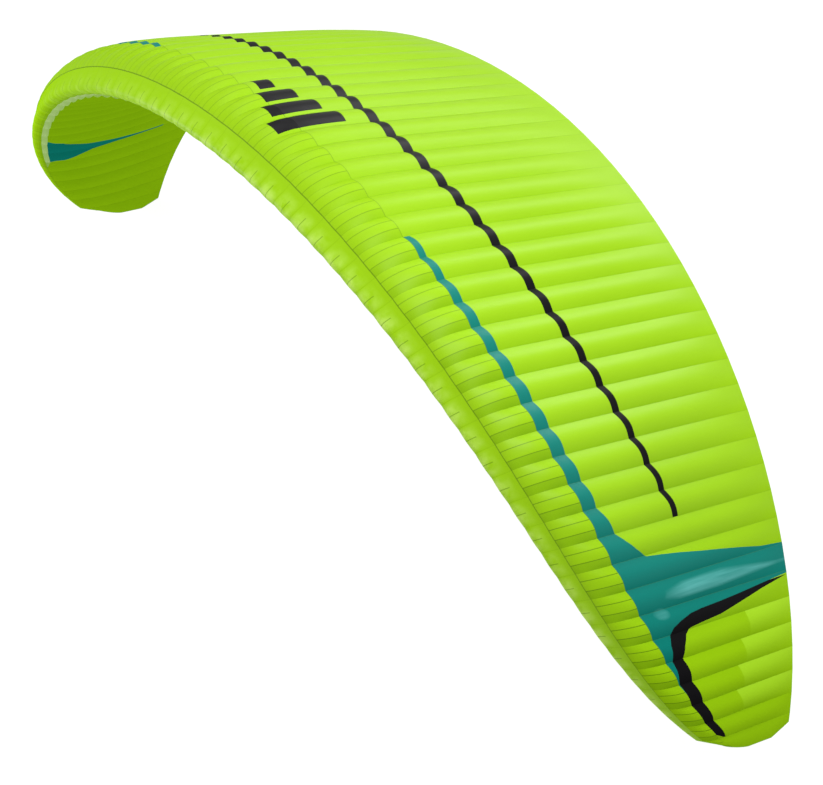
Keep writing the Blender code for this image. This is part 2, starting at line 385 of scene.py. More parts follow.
def sail_points(part, stations_of):
    """Points of a sail and their places in cells and in metres, by column and row.

    stations_of(rib, place) gives the stations on a rib, for the column at a place.
    """
    points, cells, metres = [], [], []
    for signed in PLACES:
        place = abs(signed)
        rib = min(int(place), CELLS_A_SIDE - 1)
        share = place - rib
        inner_stations, outer_stations = stations_of(rib, place), stations_of(rib + 1, place)
        inner, inner_out = on_rib(rib, part, inner_stations)
        outer, outer_out = on_rib(rib + 1, part, outer_stations)
        out = between(inner_out, outer_out, share)
        out /= np.linalg.norm(out, axis=1, keepdims=True)
        stations = between(inner_stations, outer_stations, share)
        rise = stand_out(part, place, share, stations) * CELL_WIDTH[rib]
        if rib + 1 == CELLS_A_SIDE:
            rise *= LAST_CELL_FULLNESS
        column = between(inner, outer, share) + out * rise[:, None]
        if signed < 0:
            column[:, 0] *= -1
        points.append(column)
        cells.append(np.stack([np.full(len(stations), signed), stations], -1))
        along = np.interp(place, range(CELLS_A_SIDE + 1), S * HALF_SPAN)
        chord = np.interp(place, range(CELLS_A_SIDE + 1), CHORD)
        across = np.full(len(stations), math.copysign(along, signed))
        metres.append(np.stack([across, stations * chord], -1))
    return np.array(points), np.array(cells), np.array(metres)


front_seam = sail_points("top", lambda rib, place: np.array([0.0]))[0][:, 0]
print("the leading-edge seam reaches", front_seam[:, 2].max().round(3), "m above the floor")

# %% [markdown]
# ## A sheet from a grid
# A grid is added flat, and each of its points is moved to its place in the wing. Both
# maps go with the points, as UV maps. A face has to point outwards, and a grid faces
# up. The nose and the lower sail face forwards and down, so their rows are turned round.
# The cloth folds at the ribs, so the edges there are marked sharp.

# %% Make a sail
GRID_SIZE = 2  # a new grid runs from -1 to 1


def deselect():
    bpy.ops.object.select_all(action="DESELECT")


def add_grid(name, columns, rows):
    """A flat grid, with the column and the row of each of its vertices."""
    deselect()
    bpy.ops.mesh.primitive_grid_add(
        x_subdivisions=columns - 1, y_subdivisions=rows - 1, size=GRID_SIZE
    )
    piece = bpy.context.object
    piece.name = piece.data.name = name
    flat = np.empty(len(piece.data.vertices) * 3)
    piece.data.vertices.foreach_get("co", flat)
    shares = flat.reshape(-1, 3) / GRID_SIZE + 0.5
    column = np.rint(shares[:, 0] * (columns - 1)).astype(int)
    row = np.rint(shares[:, 1] * (rows - 1)).astype(int)
    return piece, column, row


def move_points(mesh, places):
    mesh.vertices.foreach_set("co", places.ravel())
    mesh.update()


def mark_seams(mesh, column):
    """Edges along the ribs stay sharp, because the cloth folds there."""
    ends = np.empty(len(mesh.edges) * 2, int)
    mesh.edges.foreach_get("vertices", ends)
    a, b = ends.reshape(-1, 2).T
    on_seam = PLACES % 1 == 0
    sharp = (column[a] == column[b]) & on_seam[column[a]]
    mesh.shade_smooth()
    mesh.attributes.new("sharp_edge", "BOOLEAN", "EDGE")
    mesh.attributes["sharp_edge"].data.foreach_set("value", sharp)


def add_sail(name, part, stations_of):
    points, cells, metres = sail_points(part, stations_of)
    if part != "top":
        points, cells, metres = points[:, ::-1], cells[:, ::-1], metres[:, ::-1]
    sail, column, row = add_grid(name, *points.shape[:2])
    mesh = sail.data
    move_points(mesh, points[column, row])
    corners = np.empty(len(mesh.loops), int)
    mesh.loops.foreach_get("vertex_index", corners)
    mesh.uv_layers[0].name = "Cells"
    mesh.uv_layers.new(name="Metres")
    for layer, values in (("Cells", cells), ("Metres", metres)):
        mesh.uv_layers[layer].uv.foreach_set("vector", values[column, row][corners].ravel())
    mark_seams(mesh, column)
    print(name, len(mesh.polygons), "faces of cloth")
    return sail


# %% [markdown]
# ## The upper sail
# The upper sail runs from the leading-edge seam to the trailing edge. Equal rows would
# be too coarse at the nose, where the cloth turns most, or would waste faces behind.
# So the rows lie closer at the front, and one of them follows the shaping seam, where
# the cloth has its small trough.

# %% Upper sail
FRONT_ROWS = 12
REAR_ROWS = 30
FRONT_CLOSENESS = 1.6  # above 1, the first rows lie closer together
REAR_CLOSENESS = 1.25


def rows_back(start, end, count, closeness=1.0):
    """Stations from start to end, closer together at the start."""
    return start + (end - start) * (np.arange(count + 1) / count) ** closeness


def top_stations(rib, place):
    split = shaping_seam(rib)
    front = rows_back(0, split, FRONT_ROWS, FRONT_CLOSENESS)
    return np.concatenate([front[:-1], rows_back(split, 1, REAR_ROWS, REAR_CLOSENESS)])


upper_sail = add_sail("upper_sail_cloth", "top", top_stations)

# %% [markdown]
# ## The nose panel and the lower sail
# The nose panel is a narrow strip. It bends from the leading-edge seam under the nose,
# to the lip of the intakes. The lower sail starts behind the intakes. Outside the last
# open rib both meet, because those cells are fed with air from inside. The intakes
# could be cut out of one sheet, but two sheets that end apart give the same slots
# with clean edges.

# %% Nose panel and lower sail
NOSE_ROWS = 14
BELLY_ROWS = 24
BELLY_CLOSENESS = 1.2
INTAKE_CLOSES_OVER = 0.5  # cells, outside the last open rib


def nose_stations(rib, place):
    return rows_back(0, LIP, NOSE_ROWS)


def belly_stations(rib, place):
    closing = np.clip((place - LAST_OPEN_RIB) / INTAKE_CLOSES_OVER, 0, 1)
    return rows_back(between(BELLY_START, NOSE_END[0], closing), 1, BELLY_ROWS, BELLY_CLOSENESS)


nose_panel = add_sail("nose_panel_cloth", "nose", nose_stations)
lower_sail = add_sail("lower_sail_cloth", "belly", belly_stations)

# %% [markdown]
# ## The thickness of cloth
# Real cloth of this kind is thinner than a sheet of paper. A sheet without thickness
# would render, but a printed or measured model needs two sides. Solidify adds the
# second side inwards, so that the outer shape stays, and gives it the next material
# slot, for the coated inner side. It does that only where the slots are there already,
# so the sails get their thickness after their materials.

# %% Thicken a piece
CLOTH_THICK = 0.0008
RIM_ANGLE = math.radians(55)  # edges bent more than this stay sharp


def thicken(piece, thickness, offset=-1):
    solid = piece.modifiers.new("Cloth", "SOLIDIFY")
    solid.thickness = thickness
    solid.offset = offset
    solid.use_even_offset = True
    solid.material_offset = 1
    deselect()
    piece.select_set(True)
    bpy.context.view_layer.objects.active = piece
    bpy.ops.object.modifier_apply(modifier=solid.name)
    bpy.ops.object.shade_smooth_by_angle(angle=RIM_ANGLE, keep_sharp_edges=True)


print("sails are made", 1000 * CLOTH_THICK, "mm thick")

# %% [markdown]
# ## The ribs
# A rib is a flat piece of stiff cloth with the profile's outline, sewn to both sails.
# It shows only through the intakes. A traced curve could be filled, but its corners
# would be hard to control. A filled circle with as many corners as the outline has
# points is a flat face already, so its corners are pulled to the outline.

# %% Ribs
RIB_THICK = 0.0008
RIB_INSET = 0.0014  # how far inside the profile a rib ends, as it lies between the sails
RIB_END = 0.985  # a rib ends before the sharp trailing edge
RIB_TOP_ROWS = 39
RIB_NOSE_ROWS = 13
RIB_BELLY_ROWS = 23
RIB_TOP_CLOSENESS = 1.8


def rib_outline(rib):
    """Once round the profile: forwards over the top, round the nose and back below."""
    top_rows = rows_back(0, RIB_END, RIB_TOP_ROWS, RIB_TOP_CLOSENESS)[-2:0:-1]
    nose_rows = rows_back(0, LIP, RIB_NOSE_ROWS)
    belly_rows = rows_back(BELLY_START, RIB_END, RIB_BELLY_ROWS, BELLY_CLOSENESS)
    rows = (("top", top_rows), ("nose", nose_rows), ("belly", belly_rows))
    return np.concatenate([on_rib(rib, part, stations, RIB_INSET)[0] for part, stations in rows])


def add_rib(rib, side):
    name = "rib_00" if rib == 0 else f"rib_{'l' if side > 0 else 'r'}{rib:02d}"
    outline = rib_outline(rib) * (side, 1, 1)
    deselect()
    bpy.ops.mesh.primitive_circle_add(vertices=len(outline), fill_type="NGON")
    piece = bpy.context.object
    piece.name = piece.data.name = f"cloth_{name}"
    move_points(piece.data, outline)
    thicken(piece, RIB_THICK, offset=0)
    bpy.ops.object.mode_set(mode="EDIT")
    bpy.ops.mesh.select_all(action="SELECT")
    bpy.ops.mesh.normals_make_consistent(inside=False)
    bpy.ops.object.mode_set(mode="OBJECT")
    return piece


ribs = {}
for number in range(LAST_OPEN_RIB + 1):
    ribs[number, 1] = add_rib(number, 1)
    if number:
        ribs[number, -1] = add_rib(number, -1)
print(len(ribs), "ribs")

# %% [markdown]
# ## The tip edges
# Both sails end on a narrow bound edge. It is a strip of doubled cloth that closes the
# last cell. A face could be filled between both sails' ends, but it would have no even
# rows. So the strip is a grid that is one face wide, with pairs of points on the upper
# and the lower line of the tip's profile. Its outer side faces down.

# %% Tip edges
TIP_THICK = 0.0010
NOSE_FRONT = 0.5  # the place on the nose curve where the strip starts
NOSE_PAIRS = np.linspace(0.15, 0.85, 5)  # how far round the nose, up and down from there
TOP_PAIRS = (0, *np.linspace(0.02, 1, 40) ** 1.5)  # stations, closer together in front


def tip_points(side):
    """Pairs of points across the strip, from the nose to the trailing edge."""
    pairs = []
    for share in NOSE_PAIRS:
        pairs.append((("nose", NOSE_FRONT * (1 - share)), ("nose", between(NOSE_FRONT, LIP, share))))
    for x in TOP_PAIRS:
        pairs.append((("top", x), ("belly", max(x, NOSE_END[0]))))
    points = [[on_rib(CELLS_A_SIDE, at, [x], raised=0)[0][0] for at, x in pair] for pair in pairs]
    return np.array(points) * (side, 1, 1)


def add_tip(name, side):
    points = tip_points(side)
    piece, column, row = add_grid(name, *points.shape[:2])
    move_points(piece.data, points[column, row])
    faces_up = sum(face.normal.z for face in piece.data.polygons) > 0
    if faces_up:
        piece.data.flip_normals()
    thicken(piece, TIP_THICK)
    print(name, len(piece.data.polygons), "faces")
    return piece


tips = {1: add_tip("tip_edge_left", 1), -1: add_tip("tip_edge_right", -1)}

# %% [markdown]
# ## Shader sums in Python
# A pattern on cloth is a sum over two numbers: which cell, and how far back. Nodes
# could be laid out by hand, but a sum is easier to read and to change. So a small
# class wraps a socket, and turns Python's operators into Math nodes. All other nodes
# come from one method.

# %% Values of a shader
class Value:
    """A socket of a material. Sums with it add Math nodes."""

    def __init__(self, material, socket):
        self.material = material
        self.socket = socket

    def math(self, operation, *others):
        values = dict(enumerate((self, *others)))
        return self.material.node("ShaderNodeMath", {"operation": operation}, values)

    def output(self, number):
        """Another output of the same node."""
        return Value(self.material, self.socket.node.outputs[number])

    def __add__(self, other):
        return self.math("ADD", other)

    def __mul__(self, other):
        return self.math("MULTIPLY", other)

    def __sub__(self, other):
        return self.math("SUBTRACT", other)

    def __rsub__(self, other):
        return self.material.node("ShaderNodeMath", {"operation": "SUBTRACT"}, {0: other, 1: self})

    def __lt__(self, other):
        return self.math("LESS_THAN", other)

    def __gt__(self, other):
        return self.math("GREATER_THAN", other)

    def __or__(self, other):
        """The stronger of two masks."""
        return self.math("MAXIMUM", other)

    def __abs__(self):
        return self.math("ABSOLUTE")

    __radd__ = __add__
    __rmul__ = __mul__


class Material:
    """A material, and the one method that adds its nodes."""

    def __init__(self, name):
        self.data = bpy.data.materials.new(name)
        self.data.use_nodes = True
        self.data.node_tree.nodes.clear()

    def node(self, kind, settings=None, values=None, output=0):
        """Adds a node: its settings first, then the values or links of its sockets."""
        made = self.data.node_tree.nodes.new(kind)
        for key, setting in (settings or {}).items():
            setattr(made, key, setting)
        for key, value in (values or {}).items():
            if isinstance(value, Value):
                self.data.node_tree.links.new(value.socket, made.inputs[key])
            else:
                made.inputs[key].default_value = value
        return Value(self, made.outputs[output]) if made.outputs else None

    def mix(self, share, a, b):
        """Colour a, and colour b where share is 1."""
        return self.node("ShaderNodeMix", {"data_type": "RGBA"}, {0: share, 6: a, 7: b}, 2)

    def map_of(self, layer):
        """The two numbers of a UV map."""
        at = self.node("ShaderNodeUVMap", {"uv_map": layer})
        first = self.node("ShaderNodeSeparateXYZ", {}, {0: at})
        return first, first.output(1)

    def object_place(self):
        return self.node("ShaderNodeTexCoord", {}, {}, "Object")

    def noise(self, place, scale, detail, **more):
        values = {"Vector": place, "Scale": scale, "Detail": detail, **more}
        return self.node("ShaderNodeTexNoise", {}, values)

    def ramp(self, value, start, end):
        """0 before the start, 1 after the end, and straight between."""
        ends = {"From Min": start, "From Max": end}
        return self.node("ShaderNodeMapRange", {}, {"Value": value, **ends})

    def polyline(self, x, points):
        """Straight pieces through (x, y) points, level outside them."""
        total = points[0][1]
        for (x0, y0), (x1, y1) in zip(points, points[1:]):
            ends = {"From Min": x0, "From Max": x1, "To Min": 0.0, "To Max": y1 - y0}
            total = self.node("ShaderNodeMapRange", {}, {"Value": x, **ends}) + total
        return total

    def bump(self, height):
        """Normals of a surface that stands this high, in metres."""
        values = {"Strength": 1.0, "Distance": 1.0, "Height": height}
        return self.node("ShaderNodeBump", {}, values)

    def finish(self, colour, roughness, bump=None, **constants):
        """The material with its shader. Coat_Weight, say, sets the socket Coat Weight."""
        values = {"Base Color": colour, "Roughness": roughness}
        if bump:
            values["Normal"] = bump
        values.update({key.replace("_", " "): value for key, value in constants.items()})
        shader = self.node("ShaderNodeBsdfPrincipled", {}, values)
        self.node("ShaderNodeOutputMaterial", {}, {0: shader})
        return self.data


def distance(a, b):
    return abs(a - b)


def inside(value, start, end):
    """1 between the two ends."""
    return (value > start) * (value < end)


print("shader helpers are ready")

# %% [markdown]
# ## Ripstop
# Ripstop is a very thin weave with a thicker thread every few millimetres, which
# stops a tear. The threads show as a fine square grid. Modelled threads would need
# millions of faces, so the grid is a bump. It follows the cloth, and so it is drawn on
# the map in metres. The cloth isn't quite tight either, so it has slow, low waves.

# %% Weave
THREAD_EVERY = 0.006
THREAD_FROM = 0.42  # a square's outer part is thread, beyond this share from its middle
THREAD_HIGH = 0.00003
WAVES_SCALE = 9.0
WAVES_HIGH = 0.0012
NOSE_WAVES_HIGH = 0.0030  # the nose is less tight
CLOTH_ROUGH = 0.5


def thick_threads(ways):
    """1 on the thick threads that run across two ways, each in metres."""
    squares = [(way * (1 / THREAD_EVERY)).math("FRACT") for way in ways]
    first, second = [distance(share, 0.5) > THREAD_FROM for share in squares]
    return first | second


def ripstop_bump(cloth, threads, waves_high=WAVES_HIGH):
    waves = cloth.noise(cloth.object_place(), WAVES_SCALE, detail=3.0, Roughness=0.45)
    return cloth.bump(threads * THREAD_HIGH + waves * waves_high)


print("a thick thread every", 1000 * THREAD_EVERY, "mm")

# %% [markdown]
# ## Lime cloth
# Most of the wing is dyed lime green. No dye is quite even, and one flat colour would
# look like plastic. A slow noise mixes in a slightly deeper green. Colours are linear
# values of red, green and blue, as Blender's sockets take them.

# %% Lime cloth
LIME = (0.226, 0.424, 0.0030, 1)
LIME_DEEP = (0.201, 0.385, 0.0015, 1)
SHADE = (0.125, 0.265, 0.002, 1)  # lime cloth that is turned from the light
SEAM = (0.07, 0.15, 0.004, 1)  # lime cloth in a sewn line
DYE_SCALE = 1.7
DYE_RANGE = (0.35, 0.7)  # the noise's values that the deeper green starts and ends at
DYE_STRENGTH = 0.30


def lime_cloth(cloth, light=LIME, deep=LIME_DEEP):
    tone = cloth.noise(cloth.object_place(), DYE_SCALE, detail=2.0)
    return cloth.mix(cloth.ramp(tone, *DYE_RANGE) * DYE_STRENGTH, light, deep)


print("lime cloth is", LIME[:3])

# %% [markdown]
# ## Where a point is on a sail
# The panels are the same on both halves of a wing, and the sewn lines are the same in
# each cell. Each of them could be drawn again and again. It is simpler to read the map
# in four ways: the signed cell, the cell without its sign, the share of the way from
# one rib to the next, and how far back.

# %% Place on a sail
def place_on_sail(cloth):
    cell, back = cloth.map_of("Cells")
    side = abs(cell)
    return SimpleNamespace(cell=cell, side=side, share=side.math("FRACT"), back=back)


print("the map counts", 2 * CELLS_A_SIDE, "cells")

# %% [markdown]
# ## Coloured panels
# The colours of a wing aren't printed. Each is a panel of dyed cloth that is sewn in. A
# teal stripe runs along the front of the outer wing and widens to a panel at the tip. A
# black line crosses the middle behind four plain bars, and a black edge follows the
# tip panel. Cutting the mesh along these edges would need many more faces, and a
# painted image would blur from near. So each edge is a line through a few places on
# the map, and a panel is a mask between such lines.

# %% Teal and black panels
TEAL_CELLS = (8.02, 27.0)
TEAL_REAR = (
    (8.0, 0.146), (9.0, 0.150), (19.0, 0.189), (20.0, 0.210), (20.34, 0.230), (20.68, 0.258),
    (21.04, 0.298), (21.11, 0.363), (21.23, 0.456), (21.38, 0.552), (21.52, 0.656),
    (21.67, 0.761), (21.85, 0.874), (21.96, 1.02),
)  # (cell, chords back)
EDGE_CELLS = (23.15, 29.0)
EDGE_FRONT = (
    (23.08, 1.02), (23.18, 0.828), (23.26, 0.700), (23.32, 0.573), (23.36, 0.447),
    (23.41, 0.384), (23.57, 0.314), (23.75, 0.265), (23.95, 0.243), (24.35, 0.203),
    (24.92, 0.182), (25.77, 0.147), (26.99, 0.133), (27.79, 0.135), (28.68, 0.141),
    (29.09, 0.220),
)
EDGE_REAR = (
    (23.12, 1.02), (23.36, 0.820), (23.58, 0.682), (23.80, 0.554), (23.89, 0.426),
    (23.95, 0.364), (24.14, 0.319), (24.50, 0.277), (25.06, 0.243), (26.02, 0.229),
    (27.04, 0.223), (28.06, 0.217), (29.06, 0.224),
)
LINE_END = 20  # the black line's last rib
LINE_FRONT = (0.348, 0.000363)  # chords back in the middle, and more by the cell squared
LINE_REAR = (0.381, 0.000346)
# each bar's cell, and its front and rear in chords back
BARS = ((-2, 0.150, 0.200), (-1, 0.120, 0.225), (0, 0.090, 0.250), (1, 0.060, 0.275))
BAR_MARGIN = 0.12  # cells between a bar and the seam beside it


def curved(side, line):
    middle, more = line
    return side * side * more + middle


def colour_panels(cloth, at):
    """1 on the teal panels, and 1 on the black ones."""
    edge_front = cloth.polyline(at.side, EDGE_FRONT)
    teal = inside(at.side, *TEAL_CELLS) * at.behind * (at.back < edge_front)
    teal = teal * (at.back < cloth.polyline(at.side, TEAL_REAR))
    line = inside(at.back, curved(at.side, LINE_FRONT), curved(at.side, LINE_REAR))
    edge = inside(at.back, edge_front, cloth.polyline(at.side, EDGE_REAR))
    black = (line * (at.side < LINE_END)) | (edge * inside(at.side, *EDGE_CELLS))
    for start, front, rear in BARS:
        across = inside(at.cell, start + BAR_MARGIN, start + 1 - BAR_MARGIN)
        black = black | (across * inside(at.back, front, rear))
    return teal, black


print("teal from cell", TEAL_CELLS[0], "and", len(BARS), "bars in the middle")

# %% [markdown]
# ## Sewn lines and the shade beside them
# A seam pulls the cloth in and shows as a thin darker line. The shape already has the
# valleys at the ribs and the trough at the shaping seam, but a line of stitches is
# finer than any face. So the lines are drawn: fold lines in front, the shaping seam,
# the leading-edge seam and the ribs. The outer slope of the cells also gets a little
# shade, none in the middle and most on the left half, where it turns from the light.

# %% Sewn lines
FOLD_LINE = 0.014  # half a line's width, in cells
RIB_LINE = 0.010
SHAPING_LINE = 0.0010  # half a line's width, in chords
NOSE_LINE = 0.0008  # chords
SHAPING_DARK, NOSE_DARK, RIB_DARK = 0.6, 0.8, 0.25
# how dark the fold lines are along the span: a sewn line, with painted shade that makes it darker on
# the left half and towards its tip
FOLDS_ALONG_SPAN = ((-20, 0.3), (-4, 0.5), (12, 0.6), (24, 0.9))  # (cell, how dark)
SHADE_ALONG_SPAN = ((-14, 0.25), (-3, 0.0), (3, 0.0), (14, 1.0))
LOBE_SHADE = 0.45
SLOPE_FROM = 0.75
SLOPE_SHADE = 0.12


def rib_seam(share, half):
    """1 on a line along each rib, half of which is this many cells wide."""
    return distance(share, 0.5) > 0.5 - half


def sewn_lines(cloth, at):
    first, second = [distance(at.share, line) < FOLD_LINE for line in FOLD_LINES]
    folds = (first + second) * (1 - at.behind) * cloth.polyline(at.cell, FOLDS_ALONG_SPAN)
    shaping = (distance(at.back, shaping_seam(at.side)) < SHAPING_LINE) * SHAPING_DARK
    nose = (at.back < NOSE_LINE) * NOSE_DARK
    rib = rib_seam(at.share, RIB_LINE) * RIB_DARK
    return folds | shaping | nose | rib


def slope_shade(cloth, at):
    outer_lobe = (at.share > FOLD_LINES[1]) * (1 - at.behind) * LOBE_SHADE
    slope = cloth.ramp(at.share, SLOPE_FROM, 1.0) * SLOPE_SHADE
    return (outer_lobe + slope) * cloth.polyline(at.cell, SHADE_ALONG_SPAN)


print("sewn lines are up to", round(2000 * FOLD_LINE * float(CELL_WIDTH[0])), "mm wide")

# %% [markdown]
# ## Sheen on the tip panel
# The teal panel stands on the steepest part of the arch. There the silicone coat has a
# pale sheen, broken into streaks along the chord. A reflection would come and go with
# every view, so the sheen is a mask: a band between two lines and a round spot in
# front of it, with noise that is drawn out along the chord.

# %% Sheen
SHEEN_FRONT = ((0.273, 22.67), (0.303, 22.35), (0.403, 22.18), (0.629, 22.15), (0.950, 22.50))
SHEEN_REAR = ((0.273, 22.70), (0.363, 22.83), (0.600, 22.82), (0.718, 22.76), (0.950, 22.66))
SHEEN_SOFT = (0.15, 0.12)  # cells over which the band fades in and out
SHEEN_STARTS = (0.26, 0.42)  # chords over which it gets stronger
SPOT_PLACE = (23.15, 0.240)  # cell, chords back
SPOT_SIZE = (0.25, 0.045)
SPOT_FADE = (1.0, 0.2)  # from nothing at its edge to full strength near its middle
SPOT_STRENGTH = 0.6
STREAKS = (30.0, 2.0)  # to a metre, across and along the chord


def soft_spot(cloth, at):
    """1 in the middle of an ellipse, and falling to 0 at its edge."""
    far = 0
    for value, middle, half in zip((at.side, at.back), SPOT_PLACE, SPOT_SIZE):
        away = (value - middle) * (1 / half)
        far = away * away + far
    return cloth.ramp(far, *SPOT_FADE)


def tip_sheen(cloth, at, metres):
    after = cloth.ramp(at.side - cloth.polyline(at.back, SHEEN_FRONT), 0.0, SHEEN_SOFT[0])
    before = cloth.ramp(cloth.polyline(at.back, SHEEN_REAR) - at.side, 0.0, SHEEN_SOFT[1])
    band = after * before * cloth.ramp(at.back, *SHEEN_STARTS)
    place = cloth.node(
        "ShaderNodeCombineXYZ", {}, {way: metres[way] * STREAKS[way] for way in (0, 1)}
    )
    spot = soft_spot(cloth, at) * SPOT_STRENGTH
    return (band | spot) * cloth.noise(place, scale=1.0, detail=2.0)


print("sheen between cells", SHEEN_FRONT[3][1], "and", SHEEN_REAR[1][1])

# %% [markdown]
# ## The upper sail's cloth
# The masks above are laid over each other, from the lime cloth up to the black panels.
# Silicone makes the cloth a little glossy. The shader's own specular level would whiten
# all of it, so it is off, and the gloss is a thin coat instead. The coat follows the
# signed cell and is strongest on the left half, and it is weaker on black cloth and on
# the outer slopes of the cells. Near each tip four panels also have a paler end.

# %% Upper sail's cloth
TEAL = (0.003, 0.150, 0.122, 1)
SHEEN = (0.10, 0.38, 0.36, 1)
BLACK = (0.0065, 0.0062, 0.0070, 1)
PALE = (0.30, 0.54, 0.018, 1)
THREAD = (0.30, 0.50, 0.03, 1)
THREAD_TINT = 0.15
PALE_CELLS = (24, 28)
PALE_FRONT = 0.706  # chords back, in the first of these cells
PALE_STEP = 0.066  # chords further forwards in each next cell
GLOSS_ALONG_SPAN = (
    (-26, 0.0), (-14, 0.22), (-6, 0.48), (2, 0.58), (10, 0.72), (16, 0.84), (20, 0.58),
    (22, 0.35), (25, 0.0),
)
FRONT_GLOSS = 0.6  # share of the gloss left in front of the shaping seam
BLACK_LESS = 0.7  # share of it lost on black cloth, more and more between these cells
BLACK_LESS_CELLS = (4.0, 12.0)
SLOPE_LESS = 0.6  # share of it lost on a cell's outer slope, in the same way
SLOPE_LESS_SHARES = (0.40, 0.95)
SLOPE_LESS_CELLS = (2.0, 14.0)
COAT_IOR = 1.35
COAT_ROUGH = 0.44


def pale_ends(at):
    """Up to 1 behind a stepped line, and fading across each cell."""
    first, last = PALE_CELLS
    front = PALE_FRONT - (at.side.math("FLOOR") - first) * PALE_STEP
    return inside(at.side, first, last) * (at.back > front) * (1 - at.share)


def upper_gloss(cloth, at, black):
    gloss = cloth.polyline(at.cell, GLOSS_ALONG_SPAN) * (at.behind * (1 - FRONT_GLOSS) + FRONT_GLOSS)
    gloss = gloss * (1 - black * cloth.ramp(at.side, *BLACK_LESS_CELLS) * BLACK_LESS)
    slopes = cloth.ramp(at.share, *SLOPE_LESS_SHARES) * cloth.ramp(at.cell, *SLOPE_LESS_CELLS)
    return gloss * (1 - slopes * SLOPE_LESS)


def upper_cloth():
    cloth = Material("upper_sail_ripstop")
    at = place_on_sail(cloth)
    at.behind = at.back > shaping_seam(at.side)
    metres = cloth.map_of("Metres")
    threads = thick_threads(metres)
    teal, black = colour_panels(cloth, at)
    colour = cloth.mix(slope_shade(cloth, at), lime_cloth(cloth), SHADE)
    colour = cloth.mix(pale_ends(at), colour, PALE)
    colour = cloth.mix(threads * THREAD_TINT, colour, THREAD)
    colour = cloth.mix(teal, colour, TEAL)
    colour = cloth.mix(tip_sheen(cloth, at, metres) * teal, colour, SHEEN)
    colour = cloth.mix(sewn_lines(cloth, at), colour, SEAM)
    colour = cloth.mix(black, colour, BLACK)
    return cloth.finish(
        colour, CLOTH_ROUGH, ripstop_bump(cloth, threads), Specular_IOR_Level=0.0,
        Coat_Weight=upper_gloss(cloth, at, black), Coat_Roughness=COAT_ROUGH, Coat_IOR=COAT_IOR,
    )


upper_lime = upper_cloth()
print(upper_lime.name, "has", len(upper_lime.node_tree.nodes), "nodes")

# %% [markdown]
# ## The nose panel's cloth
# The nose panel has one short sewn line in the middle of each cell, which shapes it,
# and a hem along the intakes. Between the seams its cloth puckers, and the puckers look
# paler where they catch the light. As a bump they would hardly show from afar, so the
# pale spots are a noise that is kept to the middle of each cell.

# %% Nose panel's cloth
# NOSE_LIME and NOSE_DEEP are the lime cloth made about 5% lighter: painted light on the nose
NOSE_LIME = (0.236, 0.446, 0.0037, 1)
NOSE_DEEP = (0.212, 0.405, 0.0025, 1)
NOSE_PALE = (0.38, 0.58, 0.085, 1)
TICK_LINE = 0.016  # half a line's width, in cells
TICK_FROM = 0.24  # stations on the nose curve
HEM_FROM = 0.84
TOP_SEAM_TO = 0.008
NOSE_RIB_LINE = 0.012  # half a line's width, in cells
TICK_DARK, NOSE_RIB_DARK, TOP_SEAM_DARK, HEM_DARK = 0.6, 0.15, 0.6, 0.2
PALE_ALONG_SPAN = ((-20, 0.05), (-6, 0.45), (4, 0.90), (26, 1.00), (30, 0.60))
CROWN_SHARES = (0.5, 0.25)  # from a cell's middle: nothing at the first, all at the second
CROWN_STATIONS = (0.10, 0.50)
SPOTS_SCALE = 11.0
SPOTS_RANGE = (0.30, 0.62)  # the noise's values that the spots start and are full at
NOSE_GLOSS = 0.35
NOSE_GLOSS_CELLS = (-18.0, 0.0)
NOSE_COAT_ROUGH = 0.45


def nose_lines(at):
    tick = (distance(at.share, 0.5) < TICK_LINE) * (at.back > TICK_FROM) * TICK_DARK
    rib = rib_seam(at.share, NOSE_RIB_LINE) * NOSE_RIB_DARK
    top_seam = (at.back < TOP_SEAM_TO) * TOP_SEAM_DARK
    hem = (at.back > HEM_FROM) * HEM_DARK
    return tick | rib | top_seam | hem


def nose_crowns(cloth, at):
    """Pale spots on the bulging middle of each cell."""
    crown = cloth.ramp(distance(at.share, 0.5), *CROWN_SHARES)
    crown = crown * cloth.ramp(at.back, *CROWN_STATIONS) * cloth.polyline(at.cell, PALE_ALONG_SPAN)
    spots = cloth.noise(cloth.object_place(), SPOTS_SCALE, detail=3.0)
    return crown * cloth.ramp(spots, *SPOTS_RANGE)


def nose_cloth():
    cloth = Material("nose_panel_ripstop")
    at = place_on_sail(cloth)
    threads = thick_threads(cloth.map_of("Metres"))
    colour = cloth.mix(nose_crowns(cloth, at), lime_cloth(cloth, NOSE_LIME, NOSE_DEEP), NOSE_PALE)
    colour = cloth.mix(nose_lines(at), colour, SEAM)
    gloss = cloth.ramp(at.cell, *NOSE_GLOSS_CELLS) * NOSE_GLOSS
    return cloth.finish(
        colour, CLOTH_ROUGH, ripstop_bump(cloth, threads, NOSE_WAVES_HIGH), Specular_IOR_Level=0.0,
        Coat_Weight=gloss, Coat_Roughness=NOSE_COAT_ROUGH, Coat_IOR=COAT_IOR,
    )


nose_lime = nose_cloth()
print(nose_lime.name, "has", len(nose_lime.node_tree.nodes), "nodes")

# %% [markdown]
# ## The lower sail's cloth
# The lower sail is lime as well, with a teal wedge at each side, which is wide in front
# and narrows to a point behind. Inside the tips it lies in the shade of the arch, so a
# little shade is mixed in there. The wedge's edges run along the chord, so its lines
# are given the other way round: each says which cell it has reached at a distance back.

